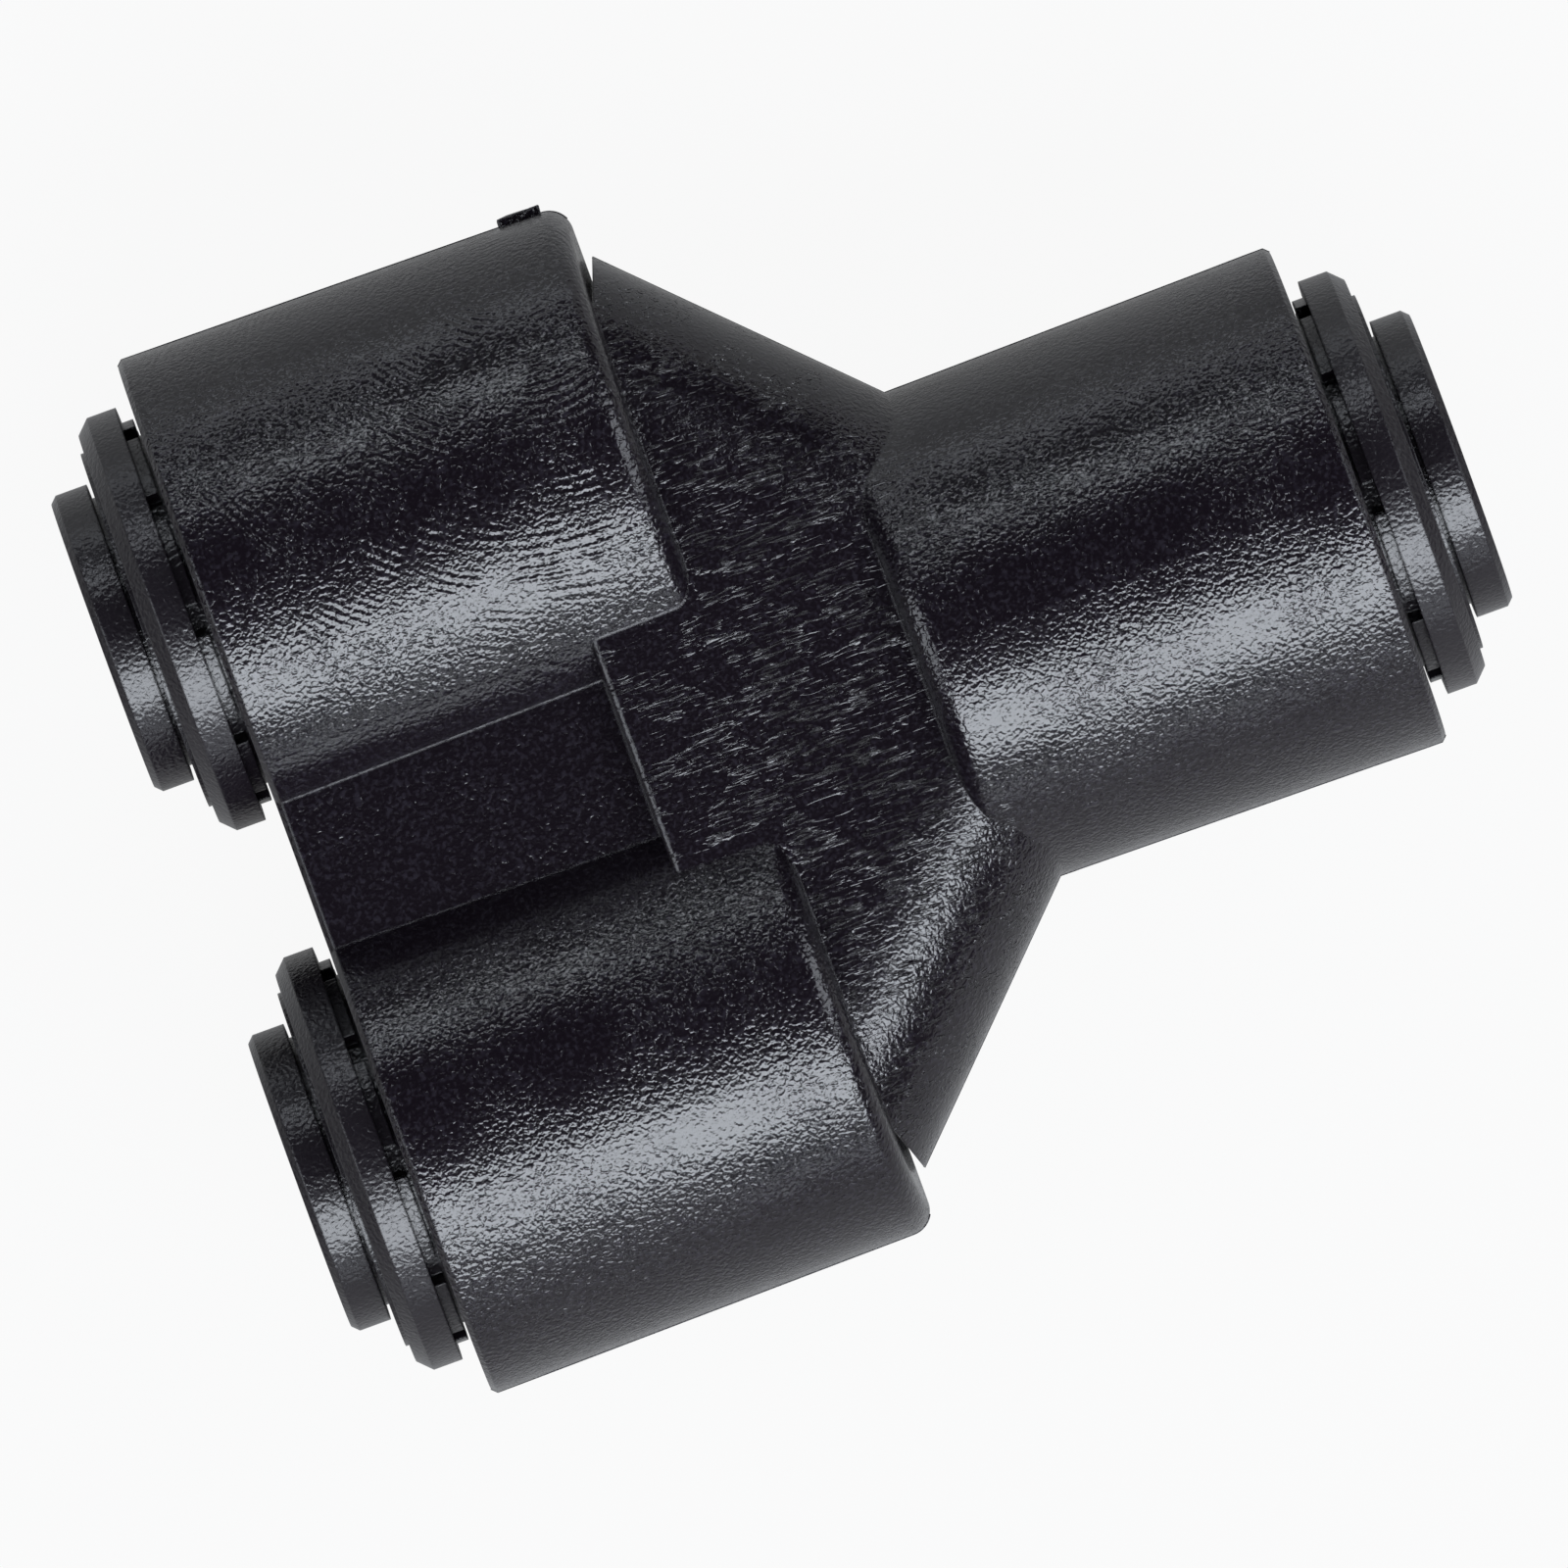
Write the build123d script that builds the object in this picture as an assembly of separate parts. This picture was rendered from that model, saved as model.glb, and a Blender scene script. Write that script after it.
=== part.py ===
"""Two-way tube divider: one push-fit inlet feeding two parallel push-fit outlets.

Millimetres. The origin is the centre of the part. +X runs out of the inlet, the two outlets face -X
and stand side by side along Y, and +Z is up. The fitting lies flat on its three round sockets.
"""
import os
from math import atan2, radians, sin, tan

from build123d import *

# The tube that each port takes
TUBE_DIAMETER = 8.0
TUBE_INSIDE = 6.0
TUBE_CLEARANCE = 0.1        # radial, in every bore that the tube slides through
TUBE_SQUEEZE = 0.1          # radial, how far the seal and the teeth stand inside the tube's surface

# Housing, outside
BODY_LENGTH = 40.6
PORT_SPACING = 20.8
SOCKET_RADIUS = 9.5         # at the mouth
SOCKET_DRAFT = 0.75         # degrees, each socket narrows towards its inner end
SOCKET_MOUTH_EDGE = 0.2
OUTLET_SOCKET_LENGTH = 17.2     # at the parting plane
INLET_SOCKET_LENGTH = 17.5
SOCKET_END_DRAFT = 3.0      # degrees, of the sockets' inner end faces
SOCKET_END_ROUND = 0.9
BLOCK_THICKNESS = 14.4
BLOCK_BACK_DEPTH = 12.65    # from the outlet mouths to the back of the block, also the web's length
BLOCK_NOSE_INSET = 2.5      # inside the inlet socket's outline, where the block ends within it
ARM_REACH = 5.55            # from the inlet mouth back to where the arms' outer edges would meet
ARM_ROUND = 5.85
ARM_TIP_GAP = 0.3           # the arms' tips lie this far beyond the outlet sockets' inner ends
ARM_TIP_INSET = 2.35        # and this far inside those sockets' outline
ARM_TIP_RELIEF = 18.4       # degrees, the tip's end face leans away from the socket
WEB_THICKNESS = 11.4
SMALL_ROUND = 0.3

# Housing, inside, as depths behind each mouth
INSERT_DEPTH = 5.3
SEAL_SEAT_LENGTH = 2.4
TUBE_STOP_DEPTH = 13.0
PASSAGE_JUNCTION_GAP = 0.8  # from the inlet's tube stop to where the two slanting passages meet
PASSAGE_CORNER_GAP = 3.4    # from an outlet's tube stop to where its passage turns to the junction
PASSAGE_BEND = 6.0
MOUTH_CHAMFER = 0.15

# Cam ring pressed into each mouth
INSERT_RADIUS = 7.35
INSERT_CLEARANCE = 0.02
INSERT_LEAD = 0.3
FLANGE_RADIUS = 7.95
FLANGE_THICKNESS = 1.6
FLANGE_CHAMFER = 0.5
FLANGE_GAP = 0.6            # from the housing's mouth to the back of the flange
BOSS_RADIUS = 6.8
BOSS_HEIGHT = 0.16
CASTELLATION_COUNT = 10
CASTELLATION_NOTCH = 9.5    # degrees
CASTELLATION_TURN = 3.0     # degrees, how far the ring is turned from a notch on top
CASTELLATION_LENGTH = 0.45
NECK_RADIUS = 6.7
CAM_ANGLE = 15.0            # degrees, half the angle of the cone inside the ring
CAM_START_DEPTH = 1.2
BARB_HEIGHT = 0.22
BARB_DEPTH = 2.6
BARB_LENGTH = 0.9
BARB_CLEARANCE = 0.03

# Seal ring
SEAL_SECTION = 2.2
SEAL_CLEARANCE = 0.02

# Collet
COLLET_WALL = 1.05
COLLET_CLEARANCE = 0.1      # radial, in the cam ring
COLLET_HEAD_RADIUS = 5.7
COLLET_HEAD_THICKNESS = 1.44
COLLET_HEAD_CHAMFER = 0.25
COLLET_LEAD = 0.4
COLLET_STANDOFF = 0.18      # from the cam ring to the collet's head, as the part lies
COLLET_TRAVEL = 1.2         # outwards, until the fingers wedge in the cone
COLLET_CAM_CLEARANCE = 0.03
COLLET_DEPTH = 5.0
COLLET_NOSE = 0.3
FINGER_COUNT = 4
SLIT_WIDTH = 1.2
SLIT_LENGTH = 5.6

# Grip teeth, one in each finger
TOOTH_THICKNESS = 0.3
TOOTH_SPAN = 44.0           # degrees
TOOTH_ROOT_RADIUS = 4.55
TOOTH_ROOT_DEPTH = 2.9
TOOTH_ROOT_LENGTH = 0.95
TOOTH_TIP_DEPTH = 4.7

# Sizes worked out from the above
HALF_LENGTH = BODY_LENGTH / 2
HALF_SPACING = PORT_SPACING / 2
HALF_BLOCK = BLOCK_THICKNESS / 2
TUBE_BORE_RADIUS = TUBE_DIAMETER / 2 + TUBE_CLEARANCE
GRIP_RADIUS = TUBE_DIAMETER / 2 - TUBE_SQUEEZE
PASSAGE_RADIUS = TUBE_INSIDE / 2
OUTLET_END_X = OUTLET_SOCKET_LENGTH - HALF_LENGTH
BLOCK_BACK_X = BLOCK_BACK_DEPTH - HALF_LENGTH
ARM_MEET_X = HALF_LENGTH - ARM_REACH
ARM_TIP_X = OUTLET_END_X + ARM_TIP_GAP
ARM_TIP_Y = HALF_SPACING + SOCKET_RADIUS - ARM_TIP_INSET
STOP_X = HALF_LENGTH - TUBE_STOP_DEPTH
PASSAGE_JUNCTION_X = STOP_X - PASSAGE_JUNCTION_GAP
PASSAGE_CORNER_X = PASSAGE_CORNER_GAP - STOP_X
SEAL_RADIUS = GRIP_RADIUS + SEAL_SECTION / 2
SEAL_SEAT_RADIUS = GRIP_RADIUS + SEAL_SECTION + SEAL_CLEARANCE
INSERT_BORE_RADIUS = INSERT_RADIUS + INSERT_CLEARANCE
COLLET_RADIUS = TUBE_BORE_RADIUS + COLLET_WALL
COLLET_BORE_IN_INSERT = COLLET_RADIUS + COLLET_CLEARANCE
FLANGE_FRONT = FLANGE_GAP + FLANGE_THICKNESS
BOSS_FRONT = FLANGE_FRONT + BOSS_HEIGHT
HEAD_BACK = BOSS_FRONT + COLLET_STANDOFF
HEAD_FRONT = HEAD_BACK + COLLET_HEAD_THICKNESS
CAM_SLOPE = tan(radians(CAM_ANGLE))

# Each port's own frame has its origin in the middle of the mouth and its Z axis pointing out of it
PORTS = {
    "inlet": Plane((HALF_LENGTH, 0, 0), x_dir=(0, 0, 1), z_dir=(1, 0, 0)),
    "outlet_1": Plane((-HALF_LENGTH, HALF_SPACING, 0), x_dir=(0, 0, 1), z_dir=(-1, 0, 0)),
    "outlet_2": Plane((-HALF_LENGTH, -HALF_SPACING, 0), x_dir=(0, 0, 1), z_dir=(-1, 0, 0)),
}


def turned(*points):
    """Solid of revolution about Z, from a closed outline of (radius, height) points."""
    return revolve(Plane.XZ * make_face(Polyline(*points, close=True)), Axis.Z)


def cam_radius(z):
    """Radius of the cone inside the cam ring at height z in the port's frame."""
    return COLLET_BORE_IN_INSERT + max(0.0, -CAM_START_DEPTH - z) * CAM_SLOPE


def socket(length, port_name):
    """Round outside of one socket, with a drafted side and a drafted and rounded inner end."""
    end = -length - SOCKET_END_ROUND
    end_radius = SOCKET_RADIUS + end * tan(radians(SOCKET_DRAFT))
    outside = turned(
        (end_radius, end), (0, end), (0, 0), (SOCKET_RADIUS - SOCKET_MOUTH_EDGE, 0),
        (SOCKET_RADIUS, -SOCKET_MOUTH_EDGE),
    )
    # In the port's frame X is the world's Z, so the end face leans back on both sides of X = 0
    half = SOCKET_RADIUS + SOCKET_END_ROUND
    lean = half * tan(radians(SOCKET_END_DRAFT))
    keep = Polyline(
        (0, -length), (half, lean - length), (half, SOCKET_END_ROUND), (-half, SOCKET_END_ROUND),
        (-half, lean - length), close=True,
    )
    solid = outside & extrude(Plane.XZ * make_face(keep), amount=half, both=True)
    rim = solid.edges().filter_by(
        lambda edge: edge.center().Z < lean - length and edge.geom_type != GeomType.LINE)
    return PORTS[port_name].location * fillet(rim, SOCKET_END_ROUND)


def block_and_arms():
    """Flat middle of the housing: its outer edges run straight from the outlets to the inlet."""
    root_x = OUTLET_END_X - SOCKET_END_ROUND - SMALL_ROUND
    root_y = ARM_TIP_Y - (ARM_TIP_X - root_x) / tan(radians(ARM_TIP_RELIEF))
    run = ARM_MEET_X - ARM_TIP_X
    nose_y = SOCKET_RADIUS - BLOCK_NOSE_INSET
    nose_x = ARM_MEET_X - nose_y * run / ARM_TIP_Y
    outline = Polyline(
        (BLOCK_BACK_X, 0), (BLOCK_BACK_X, HALF_SPACING), (root_x, HALF_SPACING), (root_x, root_y),
        (ARM_TIP_X, ARM_TIP_Y), (nose_x, nose_y), (nose_x, 0), close=True,
    )
    half = extrude(make_face(outline), amount=HALF_BLOCK, both=True)
    back = half.edges().filter_by(Axis.Y).group_by(Axis.X)[0]
    half = fillet(back, SMALL_ROUND)
    edge_plane = Plane((ARM_MEET_X, 0, 0), x_dir=(-ARM_TIP_Y, -run, 0), z_dir=(-run, ARM_TIP_Y, 0))
    section = Pos(BODY_LENGTH, 0) * RectangleRounded(2 * BODY_LENGTH, BLOCK_THICKNESS, ARM_ROUND)
    half &= edge_plane.location * extrude(section, amount=BODY_LENGTH, both=True)
    return half + mirror(half, Plane.XZ)


def web():
    """Flat panel between the two outlet sockets, flush with their mouths."""
    length = BLOCK_BACK_DEPTH + SMALL_ROUND
    solid = Pos(length / 2 - HALF_LENGTH, 0, 0) * Box(length, PORT_SPACING, WEB_THICKNESS)
    front = solid.edges().filter_by(Axis.Y).group_by(Axis.X)[0]
    return chamfer(front, SOCKET_MOUTH_EDGE)


def port_cavity():
    """What is hollow behind one mouth: cam ring bore with its barb groove, seal seat, tube socket."""
    seal_end = -INSERT_DEPTH - SEAL_SEAT_LENGTH
    mouth = INSERT_BORE_RADIUS + MOUTH_CHAMFER
    groove = INSERT_BORE_RADIUS + BARB_HEIGHT + BARB_CLEARANCE
    groove_front = BARB_CLEARANCE - BARB_DEPTH
    groove_back = -BARB_DEPTH - BARB_LENGTH - BARB_CLEARANCE
    return turned(
        (0, FLANGE_GAP), (mouth, FLANGE_GAP), (mouth, 0), (INSERT_BORE_RADIUS, -MOUTH_CHAMFER),
        (INSERT_BORE_RADIUS, groove_front), (groove, groove_front), (INSERT_BORE_RADIUS, groove_back),
        (INSERT_BORE_RADIUS, -INSERT_DEPTH), (SEAL_SEAT_RADIUS, -INSERT_DEPTH), (SEAL_SEAT_RADIUS, seal_end),
        (TUBE_BORE_RADIUS, seal_end), (TUBE_BORE_RADIUS, -TUBE_STOP_DEPTH), (0, -TUBE_STOP_DEPTH),
    )


def passages():
    """Waterways: a throat behind the inlet, and from each outlet a bend and a slanting run to it."""
    throat_x = PASSAGE_JUNCTION_X - PASSAGE_RADIUS
    throat = Plane((throat_x, 0, 0), z_dir=(1, 0, 0)).location * Cylinder(
        PASSAGE_RADIUS, STOP_X + SMALL_ROUND - throat_x, align=(Align.CENTER, Align.CENTER, Align.MIN))
    ways = [throat]
    turn = atan2(HALF_SPACING, PASSAGE_JUNCTION_X - PASSAGE_CORNER_X)
    bend = min(PASSAGE_BEND, PASSAGE_CORNER_GAP / tan(turn / 2))
    for side in (1, -1):
        start = (-STOP_X - SMALL_ROUND, side * HALF_SPACING)
        corner = (PASSAGE_CORNER_X, side * HALF_SPACING)
        route = FilletPolyline(start, corner, (PASSAGE_JUNCTION_X, 0), radius=bend)
        section = Plane(route @ 0, z_dir=route % 0) * Circle(PASSAGE_RADIUS)
        ways.append(sweep(section, path=route))
    return ways


def housing():
    """One moulding: three sockets, the block and arms between them, the web and the waterways."""
    solid = block_and_arms() + [
        web(), socket(INLET_SOCKET_LENGTH, "inlet"), socket(OUTLET_SOCKET_LENGTH, "outlet_1"),
        socket(OUTLET_SOCKET_LENGTH, "outlet_2"),
    ]
    cavity = port_cavity()
    for port in PORTS.values():
        solid -= port.location * cavity
    for way in passages():
        solid -= way
    return solid


def cam_ring():
    """Ring pressed into the mouth: chamfered flange, castellated neck, barbed spigot, cone inside."""
    lead = COLLET_BORE_IN_INSERT + INSERT_LEAD
    inner_end = cam_radius(-INSERT_DEPTH)
    pad_end = FLANGE_GAP - CASTELLATION_LENGTH
    ring = turned(
        (COLLET_BORE_IN_INSERT, -CAM_START_DEPTH), (COLLET_BORE_IN_INSERT, BOSS_FRONT - INSERT_LEAD),
        (lead, BOSS_FRONT), (BOSS_RADIUS, BOSS_FRONT), (BOSS_RADIUS, FLANGE_FRONT),
        (FLANGE_RADIUS - FLANGE_CHAMFER, FLANGE_FRONT), (FLANGE_RADIUS, FLANGE_FRONT - FLANGE_CHAMFER),
        (FLANGE_RADIUS, FLANGE_GAP), (INSERT_RADIUS, FLANGE_GAP), (INSERT_RADIUS, pad_end),
        (NECK_RADIUS, pad_end), (NECK_RADIUS, 0), (INSERT_RADIUS, 0), (INSERT_RADIUS, -BARB_DEPTH),
        (INSERT_RADIUS + BARB_HEIGHT, -BARB_DEPTH), (INSERT_RADIUS, -BARB_DEPTH - BARB_LENGTH),
        (INSERT_RADIUS, INSERT_LEAD - INSERT_DEPTH), (INSERT_RADIUS - INSERT_LEAD, -INSERT_DEPTH),
        (inner_end, -INSERT_DEPTH),
    )
    width = 2 * INSERT_RADIUS * sin(radians(CASTELLATION_NOTCH / 2))
    depth = INSERT_RADIUS - NECK_RADIUS
    notch = Pos(NECK_RADIUS + depth, 0, pad_end) * Box(
        2 * depth, width, CASTELLATION_LENGTH, align=(Align.CENTER, Align.CENTER, Align.MIN))
    for index in range(CASTELLATION_COUNT):
        ring -= Rot(0, 0, index * 360 / CASTELLATION_COUNT) * notch
    return ring


def seal_ring():
    """Rubber ring behind the cam ring, resting on the step of its seat."""
    seat_end = -INSERT_DEPTH - SEAL_SEAT_LENGTH
    return Pos(0, 0, seat_end + SEAL_SECTION / 2) * Torus(SEAL_RADIUS, SEAL_SECTION / 2)


def tooth():
    """Thin steel tooth: a flat root held in the finger and a sharpened lip that leans inwards."""
    outer = TOOTH_ROOT_RADIUS + TOOTH_THICKNESS
    bend = -TOOTH_ROOT_DEPTH - TOOTH_ROOT_LENGTH
    outline = Polyline(
        (TOOTH_ROOT_RADIUS, -TOOTH_ROOT_DEPTH), (outer, -TOOTH_ROOT_DEPTH), (outer, bend - TOOTH_THICKNESS),
        (GRIP_RADIUS, -TOOTH_TIP_DEPTH), (TOOTH_ROOT_RADIUS, bend), close=True,
    )
    strip = revolve(Plane.XZ * make_face(outline), Axis.Z, revolution_arc=TOOTH_SPAN)
    return Rot(0, 0, -TOOTH_SPAN / 2) * strip


def finger_turn(index):
    """Turn about the port's axis, in degrees, that brings a tooth to the middle of its finger."""
    return (index + 0.5) * 360 / FINGER_COUNT


def collet():
    """Collet: a head to press on, a smooth neck, and slit fingers whose cams ride in the cone."""
    cam_begin = -CAM_START_DEPTH - COLLET_TRAVEL + (COLLET_CLEARANCE - COLLET_CAM_CLEARANCE) / CAM_SLOPE
    cam_end = -COLLET_DEPTH + COLLET_NOSE
    cam_outer = cam_radius(cam_end + COLLET_TRAVEL) - COLLET_CAM_CLEARANCE
    solid = turned(
        (TUBE_BORE_RADIUS, -COLLET_DEPTH), (TUBE_BORE_RADIUS, HEAD_FRONT - COLLET_LEAD),
        (TUBE_BORE_RADIUS + COLLET_LEAD, HEAD_FRONT), (COLLET_HEAD_RADIUS - COLLET_HEAD_CHAMFER, HEAD_FRONT),
        (COLLET_HEAD_RADIUS, HEAD_FRONT - COLLET_HEAD_CHAMFER), (COLLET_HEAD_RADIUS, HEAD_BACK),
        (COLLET_RADIUS, HEAD_BACK), (COLLET_RADIUS, cam_begin), (cam_outer, cam_end),
        (cam_outer - COLLET_NOSE, -COLLET_DEPTH),
    )
    reach = 2 * COLLET_HEAD_RADIUS
    slit = Pos(0, 0, -COLLET_DEPTH) * Box(
        reach, SLIT_WIDTH, SLIT_LENGTH - SLIT_WIDTH / 2, align=(Align.MIN, Align.CENTER, Align.MIN))
    slit_end_plane = Plane((0, 0, SLIT_LENGTH - SLIT_WIDTH / 2 - COLLET_DEPTH), z_dir=(1, 0, 0))
    slit_end = slit_end_plane.location * Cylinder(
        SLIT_WIDTH / 2, reach, align=(Align.CENTER, Align.CENTER, Align.MIN))
    for index in range(FINGER_COUNT):
        solid -= Rot(0, 0, index * 360 / FINGER_COUNT) * (slit + slit_end)
        solid -= Rot(0, 0, finger_turn(index)) * tooth()
    return solid


parts = {"housing": housing()}
ring = cam_ring()
seal = seal_ring()
sleeve = collet()
steel = tooth()
for port_name, port in PORTS.items():
    ring_turn = CASTELLATION_TURN if port_name == "inlet" else -CASTELLATION_TURN
    parts[f"{port_name}_cam_ring"] = port.location * Rot(0, 0, ring_turn) * ring
    parts[f"{port_name}_seal"] = port.location * seal
    parts[f"{port_name}_collet"] = port.location * sleeve
    for index in range(FINGER_COUNT):
        turn = Rot(0, 0, finger_turn(index))
        parts[f"{port_name}_tooth_{index + 1}"] = port.location * turn * steel

os.makedirs("parts", exist_ok=True)
for name, solid in parts.items():
    export_step(solid, f"parts/{name}.step")
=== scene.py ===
"""Looks of the two-way tube divider: finishes on the CAD solids, fine moulding detail and a plain studio.

Blender units are metres. Sizes in this file are millimetres and are turned to metres by one function.
"""
import logging
from collections.abc import Iterable
from dataclasses import dataclass, field
from enum import Enum
from math import pi, radians
from typing import Any

import bpy
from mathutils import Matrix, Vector


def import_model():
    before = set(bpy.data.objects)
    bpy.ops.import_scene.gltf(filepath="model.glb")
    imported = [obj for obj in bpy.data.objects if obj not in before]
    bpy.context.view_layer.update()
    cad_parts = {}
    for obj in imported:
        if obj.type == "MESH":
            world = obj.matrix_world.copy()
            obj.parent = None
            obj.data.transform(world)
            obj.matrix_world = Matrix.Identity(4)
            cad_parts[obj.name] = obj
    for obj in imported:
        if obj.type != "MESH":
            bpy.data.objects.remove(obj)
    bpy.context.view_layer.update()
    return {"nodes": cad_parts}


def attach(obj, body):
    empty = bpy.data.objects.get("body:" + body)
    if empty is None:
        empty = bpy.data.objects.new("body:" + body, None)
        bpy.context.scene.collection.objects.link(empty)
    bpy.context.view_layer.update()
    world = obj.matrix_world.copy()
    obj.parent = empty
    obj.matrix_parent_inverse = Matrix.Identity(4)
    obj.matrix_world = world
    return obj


LOG = logging.getLogger("tube_divider")
MM_PER_METRE = 1000.0
EDGE_SAMPLES = 4
WHITE = (1.0, 1.0, 1.0, 1.0)


def mm(value: float) -> float:
    """Millimetres as Blender metres."""
    return value / MM_PER_METRE


def linear(hex_colour: str) -> tuple[float, float, float, float]:
    """Turn an sRGB hex colour into the linear colour that a shader takes, by the standard's own curve.

    Args:
        hex_colour: six hex digits with a leading #.

    Returns:
        Red, green, blue and an alpha of 1.
    """
    parts = [int(hex_colour[i:i + 2], 16) / 255 for i in (1, 3, 5)]
    red, green, blue = (c / 12.92 if c <= 0.04045 else ((c + 0.055) / 1.055) ** 2.4 for c in parts)
    return red, green, blue, 1.0


def add_node(tree: bpy.types.NodeTree, kind: str, inputs: dict[Any, Any] | None = None,
             **settings: Any) -> bpy.types.Node:
    """Add one shader node, set its properties and fill or link its inputs.

    Args:
        tree: the node tree that takes the node.
        kind: the node's class name.
        inputs: socket name or number to a value, to another node's output socket, or to another node,
            whose first output is then linked.
        settings: properties of the node itself.

    Returns:
        The new node.
    """
    node = tree.nodes.new(kind)
    for name, value in settings.items():
        setattr(node, name, value)
    for socket, value in (inputs or {}).items():
        source = value.outputs[0] if isinstance(value, bpy.types.Node) else value
        if isinstance(source, bpy.types.NodeSocket):
            tree.links.new(source, node.inputs[socket])
        else:
            node.inputs[socket].default_value = source
    return node


def new_material(name: str) -> tuple[bpy.types.Material, bpy.types.NodeTree]:
    """Make an empty node material.

    Args:
        name: the finish's name.

    Returns:
        The material and its node tree.
    """
    material = bpy.data.materials.new(name)
    material.use_nodes = True
    material.node_tree.nodes.clear()
    return material, material.node_tree


@dataclass(frozen=True)
class Grain:
    """Random pattern with grains of a real size, such as a mould or a roller leaves on a surface.

    size_mm is a grain's size along X, Y and Z. detail is how many finer layers lie on it, layer_share is
    how strong each is beside the one before, and curl is how far the grains twist. The bare pattern lies
    round 0.5. When stretched, it is faint up to low and strong from high on.
    """

    size_mm: tuple[float, float, float]
    detail: float
    curl: float = 0.0
    layer_share: float = 0.5
    low: float = 0.0
    high: float = 1.0
    faint: float = 0.0
    strong: float = 1.0

    def bare(self, tree: bpy.types.NodeTree) -> bpy.types.Node:
        """Add the bare pattern to a material.

        Args:
            tree: the material's node tree.

        Returns:
            The node that gives it.
        """
        place = add_node(tree, "ShaderNodeTexCoord")
        grains = add_node(tree, "ShaderNodeMapping", {
            "Vector": place.outputs["Object"], "Scale": [1.0 / mm(size) for size in self.size_mm]})
        return add_node(tree, "ShaderNodeTexNoise", {
            "Vector": grains, "Scale": 1.0, "Detail": self.detail, "Roughness": self.layer_share,
            "Distortion": self.curl})

    def stretched(self, tree: bpy.types.NodeTree) -> bpy.types.Node:
        """Add the pattern to a material, stretched from its faint to its strong value.

        Args:
            tree: the material's node tree.

        Returns:
            The node that gives it.
        """
        return add_node(tree, "ShaderNodeMapRange", {
            "Value": self.bare(tree), "From Min": self.low, "From Max": self.high,
            "To Min": self.faint, "To Max": self.strong})


class Measure(Enum):
    """What the borders of the housing's zones are measured by."""

    ALONG = "from the part's centre towards the inlet"
    SIDE = "from the part's centre towards outlet 1"
    ACROSS = "from the inlet's axis to either side"
    HEIGHT = "from the parting plane, up or down"
    GATE = "from the point that the melt came in by"


@dataclass(frozen=True)
class Border:
    """Soft border of a zone: a mask goes from before to after while the measure goes from start to end."""

    measure: Measure
    start_mm: float
    end_mm: float
    before: float = 0.0
    after: float = 1.0


def zone(tree: bpy.types.NodeTree, measures: dict[Measure, bpy.types.NodeSocket],
         borders: Iterable[Border]) -> bpy.types.Node:
    """Mask of a zone on the housing: the product of its soft borders.

    Args:
        tree: the material's node tree.
        measures: the distances in millimetres.
        borders: the zone's borders.

    Returns:
        The node that gives the mask.
    """
    mask: bpy.types.Node | None = None
    for border in borders:
        edge = add_node(tree, "ShaderNodeMapRange", {
            "Value": measures[border.measure], "From Min": border.start_mm, "From Max": border.end_mm,
            "To Min": border.before, "To Max": border.after})
        if mask is None:
            mask = edge
        else:
            mask = add_node(tree, "ShaderNodeMath", {0: mask, 1: edge}, operation="MULTIPLY")
    return mask


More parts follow.
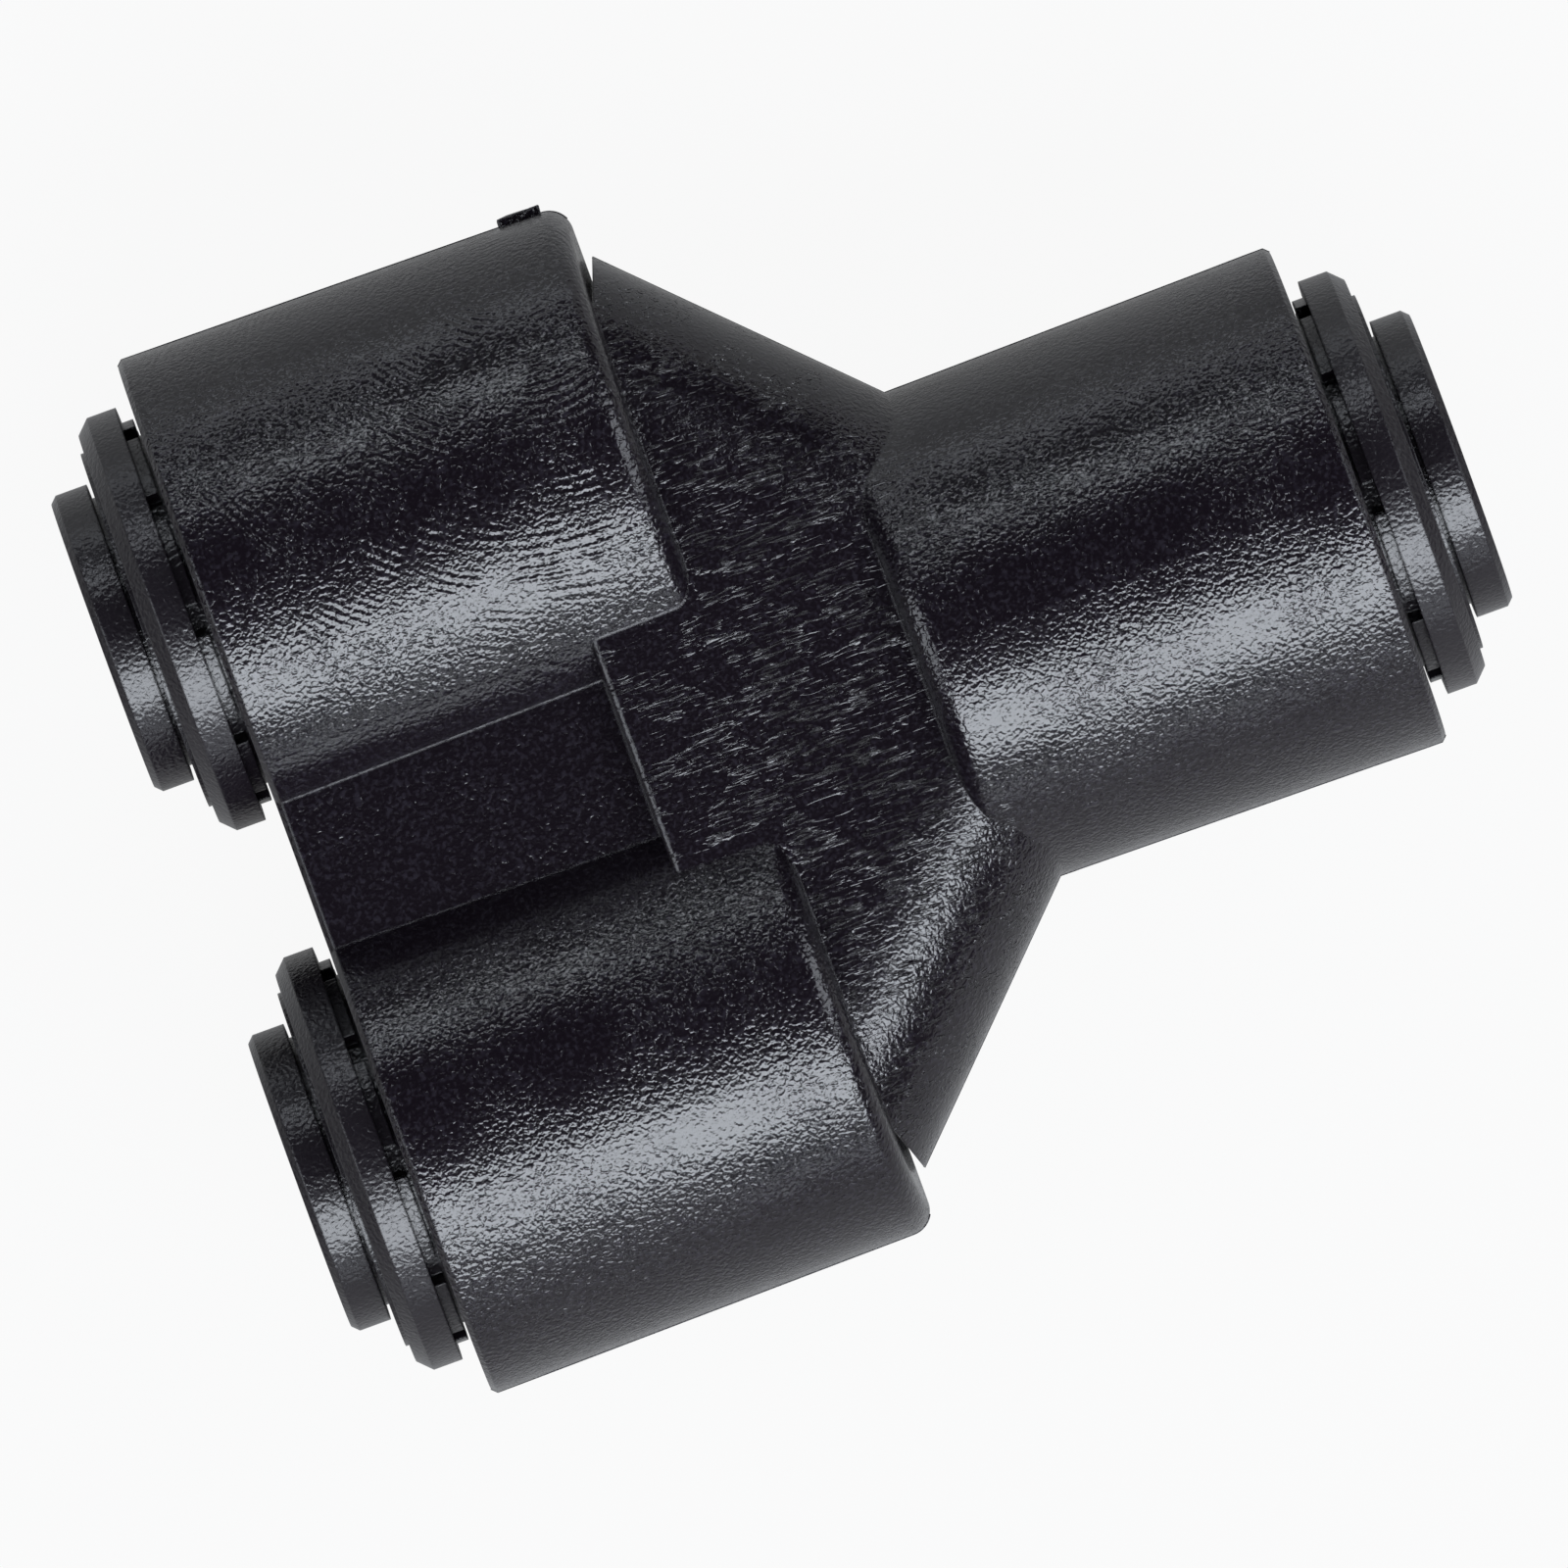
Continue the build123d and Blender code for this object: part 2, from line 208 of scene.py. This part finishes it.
@dataclass(frozen=True)
class MouldedAcetal:
    """Black acetal from a spark-eroded mould.

    The eye sees grey streaks where lamps are mirrored, broken up by a crisp grain of about a fifth of a
    millimetre. Short bright strokes lie along the flat block, where the mould was ground, and fine arcs
    fan out over the first outlet's socket from the gate that the melt came in by. The colour itself is
    nearly black, because what shows of black acetal is mostly its reflections.

    The grain covers all of it, and its crests are a little paler. The strokes lie in stroke_front and
    stroke_middle, and the grain is calm in calm_web, calm_block and calm_arms. All of these end at
    flat_top, where the sockets rise above the block.
    """

    name: str = "moulded_acetal"
    colour: str = "#0b070c"
    crest_colour: str = "#1a171d"
    crest_start: float = 0.5
    crest_end: float = 0.75
    roughness: float = 0.19
    ior: float = 1.48
    edge_mm: float = 0.12
    grain: Grain = Grain((0.16, 0.16, 0.16), 0.5, curl=0.5)
    grain_depth_mm: float = 0.05
    patches: Grain = Grain((5.0, 5.0, 5.0), 1.0, low=0.35, high=0.65, faint=0.6, strong=1.2)
    calm_share: float = 0.5
    calm_web: tuple[Border, ...] = (
        Border(Measure.ACROSS, 4.3, 4.7, 1.0, 0.0), Border(Measure.ALONG, 2.8, 3.6, 1.0, 0.0))
    calm_block: tuple[Border, ...] = (
        Border(Measure.ALONG, -3.4, -3.1), Border(Measure.ALONG, 2.8, 3.6, 1.0, 0.0))
    calm_arms: tuple[Border, ...] = (Border(Measure.ALONG, -3.4, -3.1), Border(Measure.ACROSS, 9.5, 9.8))
    flat_top: tuple[Border, ...] = (Border(Measure.HEIGHT, 7.25, 7.35, 1.0, 0.0),)
    strokes: Grain = Grain((1.1, 0.19, 0.3), 1.0, curl=1.4, low=0.55, high=0.74, strong=0.17)
    stroke_patches: Grain = Grain((2.5, 1.8, 4.0), 1.0, low=0.45, high=0.58, faint=0.05)
    stroke_front: tuple[Border, ...] = (
        Border(Measure.ALONG, -3.4, -3.0), Border(Measure.ALONG, 3.6, 4.6, 1.0, 0.0))
    stroke_middle: tuple[Border, ...] = (
        Border(Measure.ACROSS, 3.9, 4.1, 1.0, 0.0), Border(Measure.ALONG, -7.65, -7.35, 0.0, 0.5))
    flow_centre_mm: tuple[float, float, float] = (-5.6, 18.4, 5.2)
    flow_pitch_mm: float = 0.33
    flow_depth_mm: float = 0.011
    flow_wobble: Grain = Grain((6.0, 6.0, 6.0), 0.0, strong=1.6)
    flow_breaks: Grain = Grain((1.6, 1.6, 1.6), 1.0, low=0.46, high=0.62)
    flow_reach: tuple[Border, ...] = (
        Border(Measure.GATE, 1.0, 3.0), Border(Measure.GATE, 15.0, 18.0, 1.0, 0.0))
    flow_socket: tuple[Border, ...] = (
        Border(Measure.SIDE, 3.0, 5.0), Border(Measure.ALONG, -3.4, -3.0, 1.0, 0.0))

    def build(self) -> bpy.types.Material:
        """Build the finish: every relief is a height in millimetres, and one bump takes their sum.

        Returns:
            The material.
        """
        material, tree = new_material(self.name)
        measures = self.measures(tree)
        texture = self.grain.bare(tree)
        height = self.grain_height(tree, measures, texture)
        for marks in (self.stroke_height(tree, measures), self.flow_height(tree, measures)):
            height = add_node(tree, "ShaderNodeMath", {0: height, 1: marks}, operation="ADD")
        edges = add_node(tree, "ShaderNodeBevel", {"Radius": mm(self.edge_mm)}, samples=EDGE_SAMPLES)
        relief = add_node(tree, "ShaderNodeBump", {
            "Height": height, "Distance": mm(1.0), "Strength": 1.0, "Normal": edges})
        crests = add_node(tree, "ShaderNodeMapRange", {
            "Value": texture, "From Min": self.crest_start, "From Max": self.crest_end})
        colour = add_node(tree, "ShaderNodeMix", {
            "Factor": crests, "A": linear(self.colour), "B": linear(self.crest_colour)}, data_type="RGBA")
        acetal = add_node(tree, "ShaderNodeBsdfPrincipled", {
            "Base Color": colour.outputs["Result"], "Roughness": self.roughness, "IOR": self.ior,
            "Normal": relief})
        add_node(tree, "ShaderNodeOutputMaterial", {"Surface": acetal})
        return material

    def measures(self, tree: bpy.types.NodeTree) -> dict[Measure, bpy.types.NodeSocket]:
        """Distances on the housing, in millimetres.

        Args:
            tree: the material's node tree.

        Returns:
            The output that gives each measure.
        """
        place = add_node(tree, "ShaderNodeTexCoord")
        point = add_node(tree, "ShaderNodeMapping", {
            "Vector": place.outputs["Object"], "Scale": (MM_PER_METRE,) * 3})
        split = add_node(tree, "ShaderNodeSeparateXYZ", {"Vector": point})
        across = add_node(tree, "ShaderNodeMath", {0: split.outputs["Y"]}, operation="ABSOLUTE")
        height = add_node(tree, "ShaderNodeMath", {0: split.outputs["Z"]}, operation="ABSOLUTE")
        gate = add_node(tree, "ShaderNodeVectorMath", {
            0: point, 1: self.flow_centre_mm}, operation="DISTANCE")
        return {Measure.ALONG: split.outputs["X"], Measure.SIDE: split.outputs["Y"],
                Measure.ACROSS: across.outputs[0], Measure.HEIGHT: height.outputs[0],
                Measure.GATE: gate.outputs["Value"]}

    def grain_height(self, tree: bpy.types.NodeTree, measures: dict[Measure, bpy.types.NodeSocket],
                     texture: bpy.types.Node) -> bpy.types.Node:
        """Spark-eroded grain: uneven from patch to patch, and calm on the web, the block and the arms.

        Args:
            tree: the material's node tree.
            measures: the distances in millimetres.
            texture: the bare grain.

        Returns:
            The node that gives its height in millimetres.
        """
        calm = zone(tree, measures, self.calm_web)
        for borders in (self.calm_block, self.calm_arms):
            calm = add_node(tree, "ShaderNodeMath", {
                0: calm, 1: zone(tree, measures, borders)}, operation="MAXIMUM")
        flat = zone(tree, measures, self.flat_top)
        calm = add_node(tree, "ShaderNodeMath", {0: calm, 1: flat}, operation="MULTIPLY")
        share = add_node(tree, "ShaderNodeMapRange", {
            "Value": calm, "To Min": 1.0, "To Max": self.calm_share})
        height = texture
        for factor in (self.grain_depth_mm, self.patches.stretched(tree), share):
            height = add_node(tree, "ShaderNodeMath", {0: height, 1: factor}, operation="MULTIPLY")
        return height

    def stroke_height(self, tree: bpy.types.NodeTree,
                      measures: dict[Measure, bpy.types.NodeSocket]) -> bpy.types.Node:
        """Ground strokes, in patches on the block and the arms' roots, on neither sockets nor web.

        Args:
            tree: the material's node tree.
            measures: the distances in millimetres.

        Returns:
            The node that gives their height in millimetres.
        """
        spread = add_node(tree, "ShaderNodeMath", {
            0: zone(tree, measures, self.stroke_front),
            1: zone(tree, measures, self.stroke_middle)}, operation="MAXIMUM")
        flat = zone(tree, measures, self.flat_top)
        height = self.strokes.stretched(tree)
        for factor in (spread, flat, self.stroke_patches.stretched(tree)):
            height = add_node(tree, "ShaderNodeMath", {0: height, 1: factor}, operation="MULTIPLY")
        return height

    def flow_height(self, tree: bpy.types.NodeTree,
                    measures: dict[Measure, bpy.types.NodeSocket]) -> bpy.types.Node:
        """Fine broken arcs round the gate, on the first outlet's socket.

        Args:
            tree: the material's node tree.
            measures: the distances in millimetres.

        Returns:
            The node that gives their height in millimetres.
        """
        radius = add_node(tree, "ShaderNodeMath", {
            0: measures[Measure.GATE], 1: self.flow_wobble.stretched(tree)}, operation="ADD")
        turns = add_node(tree, "ShaderNodeMath", {
            0: radius, 1: 2 * pi / self.flow_pitch_mm}, operation="MULTIPLY")
        height = add_node(tree, "ShaderNodeMath", {0: turns}, operation="SINE")
        for factor in (zone(tree, measures, self.flow_reach + self.flow_socket),
                       self.flow_breaks.stretched(tree), self.flow_depth_mm):
            height = add_node(tree, "ShaderNodeMath", {0: height, 1: factor}, operation="MULTIPLY")
        return height


@dataclass(frozen=True)
class SmoothAcetal:
    """Black acetal from a finer mould, for the rings and collets.

    The eye sees smooth, even highlights with a faint grain, and a thin line of light along each edge.
    """

    name: str
    colour: str
    roughness: float = 0.28
    ior: float = 1.48
    edge_mm: float = 0.1
    grain: Grain = Grain((0.16, 0.16, 0.16), 0.5, curl=0.5)
    grain_depth_mm: float = 0.03

    def build(self) -> bpy.types.Material:
        """Build the finish.

        Returns:
            The material.
        """
        material, tree = new_material(self.name)
        edges = add_node(tree, "ShaderNodeBevel", {"Radius": mm(self.edge_mm)}, samples=EDGE_SAMPLES)
        relief = add_node(tree, "ShaderNodeBump", {
            "Height": self.grain.bare(tree), "Distance": mm(self.grain_depth_mm), "Strength": 1.0,
            "Normal": edges})
        acetal = add_node(tree, "ShaderNodeBsdfPrincipled", {
            "Base Color": linear(self.colour), "Roughness": self.roughness, "IOR": self.ior,
            "Normal": relief})
        add_node(tree, "ShaderNodeOutputMaterial", {"Surface": acetal})
        return material


@dataclass(frozen=True)
class NitrileRubber:
    """Black nitrile rubber of the seals, press-moulded.

    The eye sees a dull black. Its mottle is drawn coarser than the real one, so that it shows at all.
    """

    name: str = "nitrile_rubber"
    colour: str = "#141414"
    roughness: float = 0.6
    ior: float = 1.52
    mottle: Grain = Grain((0.15, 0.15, 0.15), 2.0)
    mottle_depth_mm: float = 0.01

    def build(self) -> bpy.types.Material:
        """Build the finish.

        Returns:
            The material.
        """
        material, tree = new_material(self.name)
        relief = add_node(tree, "ShaderNodeBump", {
            "Height": self.mottle.bare(tree), "Distance": mm(self.mottle_depth_mm), "Strength": 1.0})
        rubber = add_node(tree, "ShaderNodeBsdfPrincipled", {
            "Base Color": linear(self.colour), "Roughness": self.roughness, "IOR": self.ior,
            "Normal": relief})
        add_node(tree, "ShaderNodeOutputMaterial", {"Surface": rubber})
        return material


@dataclass(frozen=True)
class StainlessStrip:
    """Cold-rolled stainless strip of the grip teeth.

    The eye sees bright steel with fine rolling lines. They are drawn coarser than the real ones, so that
    they show. Stretched, the pattern is the strip's roughness.
    """

    name: str = "stainless_strip"
    colour: str = "#c3c3c5"
    lines: Grain = Grain((0.05, 1.5, 1.5), 1.0, low=0.3, high=0.7, faint=0.3, strong=0.45)
    line_depth_mm: float = 0.002

    def build(self) -> bpy.types.Material:
        """Build the finish.

        Returns:
            The material.
        """
        material, tree = new_material(self.name)
        relief = add_node(tree, "ShaderNodeBump", {
            "Height": self.lines.bare(tree), "Distance": mm(self.line_depth_mm), "Strength": 1.0})
        steel = add_node(tree, "ShaderNodeBsdfPrincipled", {
            "Base Color": linear(self.colour), "Metallic": 1.0, "Roughness": self.lines.stretched(tree),
            "Normal": relief})
        add_node(tree, "ShaderNodeOutputMaterial", {"Surface": steel})
        return material


class Port(Enum):
    """The three ports, by the name that their nodes begin with."""

    INLET = "inlet"
    OUTLET_1 = "outlet_1"
    OUTLET_2 = "outlet_2"


def dress(piece: bpy.types.Object, material: bpy.types.Material) -> None:
    """Give a piece its one finish and report it.

    Args:
        piece: a CAD node or a piece of this scene.
        material: the finish.
    """
    piece.data.materials.clear()
    piece.data.materials.append(material)
    LOG.info("%s in %s", piece.name, material.name)


def apply_modifiers(piece: bpy.types.Object) -> None:
    """Apply every modifier of a piece, in order.

    Args:
        piece: the piece, which is left selected and active.
    """
    bpy.ops.object.select_all(action="DESELECT")
    piece.select_set(True)
    bpy.context.view_layer.objects.active = piece
    for modifier in list(piece.modifiers):
        bpy.ops.object.modifier_apply(modifier=modifier.name)


@dataclass
class Housing:
    """The one-piece moulding: its finish, the flash along the parting plane and the stub of the gate.

    The walls, the outlets' end and arm_meet say where the outline runs, so that the flash stays off mouths
    and bores. An arm's outer edge is the line where the distances along and across add up to arm_meet.
    """

    body: str = "divider"
    slot: str = "housing_acetal"
    finish: MouldedAcetal = field(default_factory=MouldedAcetal)
    merge_distance: float = 0.001
    flash_thickness: float = 0.1
    flash_proud: float = 0.035
    flash_root: float = 0.05
    inlet_wall: float = 8.9
    outlet_wall: float = 18.6
    outlet_end: float = -3.1
    arm_meet: float = 14.75
    arm_margin: float = 0.6
    mouth_normal: float = 0.9
    gate_place: tuple[float, float, float] = (-4.8, 19.7, 0.0)
    gate_size: tuple[float, float, float] = (1.6, 0.6, 0.5)
    gate_cuts: int = 3
    gate_tear: float = 0.05
    gate_seed: int = 4
    gate_edge: float = 0.04
    gate_edge_steps: int = 2

    def build(self, node: bpy.types.Object) -> None:
        """Dress the CAD housing and add its moulding marks.

        Args:
            node: the CAD housing.
        """
        material = self.finish.build()
        dress(node, material)
        for piece in (self.flash(node), self.gate_stub()):
            dress(piece, material)
            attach(piece, self.body)

    def on_outline(self, centre: Vector, normal: Vector) -> bool:
        """Whether a face of the thin slice lies on the outline, away from mouths and bores.

        Args:
            centre: the face's centre, in metres.
            normal: the face's normal.

        Returns:
            True for a face that carries flash.
        """
        along, across = centre.x, abs(centre.y)
        if abs(normal.x) > self.mouth_normal:
            return False
        if along < mm(self.outlet_end):
            return across > mm(self.outlet_wall)
        return across > max(mm(self.inlet_wall), mm(self.arm_meet - self.arm_margin) - along)

    def flash(self, node: bpy.types.Object) -> bpy.types.Object:
        """Cut a thin slice at the parting plane, keep its outline and thicken that to a fine bead.

        Args:
            node: the CAD housing, which stays as it is.

        Returns:
            The bead.
        """
        piece = bpy.data.objects.new("housing_flash", node.data.copy())
        bpy.context.scene.collection.objects.link(piece)
        bpy.ops.object.select_all(action="DESELECT")
        piece.select_set(True)
        bpy.context.view_layer.objects.active = piece
        bpy.ops.object.mode_set(mode="EDIT")
        bpy.ops.mesh.select_all(action="SELECT")
        bpy.ops.mesh.remove_doubles(threshold=mm(self.merge_distance))
        for side in (1, -1):
            bpy.ops.mesh.select_all(action="SELECT")
            bpy.ops.mesh.bisect(plane_co=(0, 0, side * mm(self.flash_thickness) / 2),
                                plane_no=(0, 0, side), clear_outer=True,
                                threshold=mm(self.merge_distance))
        bpy.ops.mesh.select_all(action="DESELECT")
        bpy.ops.object.mode_set(mode="OBJECT")
        for face in piece.data.polygons:
            face.select = not self.on_outline(face.center, face.normal)
        bpy.ops.object.mode_set(mode="EDIT")
        bpy.ops.mesh.delete(type="FACE")
        bpy.ops.mesh.select_all(action="SELECT")
        bpy.ops.mesh.delete_loose()
        bpy.ops.object.mode_set(mode="OBJECT")
        bead = piece.modifiers.new("bead", "SOLIDIFY")
        bead.thickness = mm(self.flash_proud + self.flash_root)
        bead.offset = (self.flash_proud - self.flash_root) / (self.flash_proud + self.flash_root)
        apply_modifiers(piece)
        return piece

    def gate_stub(self) -> bpy.types.Object:
        """Model the torn stub that the gate left on the first outlet's socket.

        Returns:
            The stub.
        """
        bpy.ops.object.select_all(action="DESELECT")
        bpy.ops.mesh.primitive_cube_add(size=1.0)
        piece = bpy.context.object
        piece.name = "housing_gate_stub"
        bpy.ops.object.mode_set(mode="EDIT")
        bpy.ops.transform.resize(value=tuple(mm(size) for size in self.gate_size))
        bpy.ops.mesh.subdivide(number_cuts=self.gate_cuts)
        bpy.ops.transform.vertex_random(offset=mm(self.gate_tear), seed=self.gate_seed)
        bpy.ops.transform.translate(value=tuple(mm(place) for place in self.gate_place))
        bpy.ops.object.mode_set(mode="OBJECT")
        edge = piece.modifiers.new("edge", "BEVEL")
        edge.width = mm(self.gate_edge)
        edge.segments = self.gate_edge_steps
        apply_modifiers(piece)
        return piece


@dataclass
class PortPieces:
    """What sits in each port: the cam ring, the collet, the seal and the grip teeth."""

    teeth: int = 4
    ring: SmoothAcetal = field(default_factory=lambda: SmoothAcetal("ring_acetal", "#0f0b10"))
    collet: SmoothAcetal = field(default_factory=lambda: SmoothAcetal("collet_acetal", "#0e0a0f"))
    seal: NitrileRubber = field(default_factory=NitrileRubber)
    tooth: StainlessStrip = field(default_factory=StainlessStrip)

    def build(self, nodes: dict[str, bpy.types.Object]) -> None:
        """Dress the pieces of all three ports.

        Args:
            nodes: the CAD nodes by name.
        """
        materials = {"cam_ring": self.ring.build(), "collet": self.collet.build()}
        materials["seal"] = self.seal.build()
        names = [f"tooth_{number}" for number in range(1, self.teeth + 1)]
        materials |= dict.fromkeys(names, self.tooth.build())
        for port in Port:
            for piece, material in materials.items():
                dress(nodes[f"{port.value}_{piece}"], material)


@dataclass(frozen=True)
class Lamp:
    """Rectangular soft lamp that looks at the part.

    direction points from the part to the lamp, and width and height are its sides. radiance is how bright
    its face is, where 1 is white paper in the picture. roll turns it about its line of sight, in degrees.
    """

    name: str
    direction: tuple[float, float, float]
    width: float
    height: float
    radiance: float
    roll: float = 0.0
    distance: float = 600.0
    colour: str = "#f1f7ff"

    def build(self) -> None:
        """Place the lamp, hidden from the camera."""
        data = bpy.data.lights.new(self.name, "AREA")
        data.shape = "RECTANGLE"
        data.color = linear(self.colour)[:3]
        data.size, data.size_y = mm(self.width), mm(self.height)
        data.energy = self.radiance * pi * data.size * data.size_y
        lamp = bpy.data.objects.new(self.name, data)
        towards = Vector(self.direction).normalized()
        lamp.location = towards * mm(self.distance)
        lamp.rotation_euler = towards.to_track_quat("Z", "Y").to_euler()
        lamp.rotation_euler.rotate_axis("Z", radians(self.roll))
        lamp.visible_camera = False
        bpy.context.scene.collection.objects.link(lamp)


@dataclass
class Studio:
    """White paper floor, soft lamps all round and the overhead camera.

    The key lamp gives the broad streaks on the sockets and the strip the narrow ones. The low lamp and the
    wall light the flanks. A lamp at each end of the part lights the views from the side and from behind.
    The floor and the horizon are white to the camera and show in reflections too, while the room overhead
    stays dim. camera_share and glossy_share are how much of the floor's paper is plain white to each.
    """

    camera_place: tuple[float, float, float] = (-2.82, -2.76, 1500.0)
    camera_turn: float = 20.05
    camera_lens: float = 950.7
    camera_sensor: float = 36.0
    camera_range: float = 4500.0
    lamps: tuple[Lamp, ...] = (
        Lamp("key", (0.08, -0.65, 0.755), 690.0, 310.0, 12.0, roll=-18.0),
        Lamp("low", (0.0, -0.97, 0.24), 690.0, 45.0, 5.5),
        Lamp("wall", (0.0, 0.99, 0.12), 900.0, 90.0, 2.4),
        Lamp("strip", (0.0, 0.766, 0.643), 500.0, 36.0, 12.0),
        Lamp("inlet_end", (0.75, 0.05, 0.66), 420.0, 300.0, 4.0, roll=90.0),
        Lamp("outlet_end", (-0.75, 0.05, 0.66), 420.0, 300.0, 4.0, roll=90.0))
    floor_z: float = -9.5
    floor_size: float = 6000.0
    paper_colour: str = "#7d7d7d"
    camera_share: float = 0.93
    glossy_share: float = 0.3
    overhead: float = 0.012
    horizon_band: float = 0.06

    def build(self) -> None:
        """Make the camera, the lamps, the floor and the room."""
        self.camera()
        for lamp in self.lamps:
            lamp.build()
        self.floor()
        self.room()

    def camera(self) -> None:
        """Place the camera straight above the part, turned as the photograph is."""
        data = bpy.data.cameras.new("camera")
        data.lens = self.camera_lens
        data.sensor_width = self.camera_sensor
        data.clip_end = mm(self.camera_range)
        camera = bpy.data.objects.new("camera", data)
        camera.location = [mm(place) for place in self.camera_place]
        camera.rotation_euler = (0.0, 0.0, -radians(self.camera_turn))
        bpy.context.scene.collection.objects.link(camera)
        bpy.context.scene.camera = camera

    def floor(self) -> None:
        """Lay the floor under the part: paper that the camera sees white, with a faint shadow on it."""
        bpy.ops.object.select_all(action="DESELECT")
        bpy.ops.mesh.primitive_plane_add(size=mm(self.floor_size), location=(0, 0, mm(self.floor_z)))
        floor = bpy.context.object
        floor.name = "floor"
        material, tree = new_material("white_paper")
        ray = add_node(tree, "ShaderNodeLightPath")
        seen = add_node(tree, "ShaderNodeMath", {
            0: ray.outputs["Is Camera Ray"], 1: ray.outputs["Is Transmission Ray"]}, operation="MAXIMUM")
        seen = add_node(tree, "ShaderNodeMath", {0: seen, 1: self.camera_share}, operation="MULTIPLY")
        share = add_node(tree, "ShaderNodeMath", {
            0: ray.outputs["Is Glossy Ray"], 1: self.glossy_share, 2: seen}, operation="MULTIPLY_ADD")
        paper = add_node(tree, "ShaderNodeBsdfDiffuse", {"Color": linear(self.paper_colour)})
        glow = add_node(tree, "ShaderNodeEmission", {"Color": WHITE, "Strength": 1.0})
        mix = add_node(tree, "ShaderNodeMixShader", {0: share, 1: paper, 2: glow})
        add_node(tree, "ShaderNodeOutputMaterial", {"Surface": mix})
        floor.data.materials.append(material)

    def room(self) -> None:
        """Dim room all round, white to the camera and, in a low band at the horizon, to reflections."""
        world = bpy.data.worlds.new("room")
        world.use_nodes = True
        tree = world.node_tree
        tree.nodes.clear()
        ray = add_node(tree, "ShaderNodeLightPath")
        place = add_node(tree, "ShaderNodeTexCoord")
        height = add_node(tree, "ShaderNodeSeparateXYZ", {"Vector": place.outputs["Generated"]})
        band = add_node(tree, "ShaderNodeMapRange", {
            "Value": height.outputs["Z"], "From Max": self.horizon_band, "To Min": 1.0, "To Max": 0.0})
        mirrored = add_node(tree, "ShaderNodeMath", {
            0: ray.outputs["Is Glossy Ray"], 1: ray.outputs["Is Transmission Ray"]}, operation="MAXIMUM")
        low = add_node(tree, "ShaderNodeMath", {0: mirrored, 1: band}, operation="MULTIPLY")
        seen = add_node(tree, "ShaderNodeMath", {
            0: ray.outputs["Is Camera Ray"], 1: low}, operation="MAXIMUM")
        strength = add_node(tree, "ShaderNodeMapRange", {
            "Value": seen, "To Min": self.overhead, "To Max": 1.0})
        back = add_node(tree, "ShaderNodeBackground", {"Color": WHITE, "Strength": strength})
        add_node(tree, "ShaderNodeOutputWorld", {"Surface": back})
        bpy.context.scene.world = world


def main() -> None:
    """Load the frame, dress every piece and set up the studio."""
    logging.basicConfig(level=logging.INFO, format="%(message)s")
    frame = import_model()
    bpy.context.scene.view_settings.view_transform = "Standard"
    Studio().build()
    nodes = frame["nodes"]
    Housing().build(nodes["housing"])
    PortPieces().build(nodes)


if __name__ == "__main__":
    main()
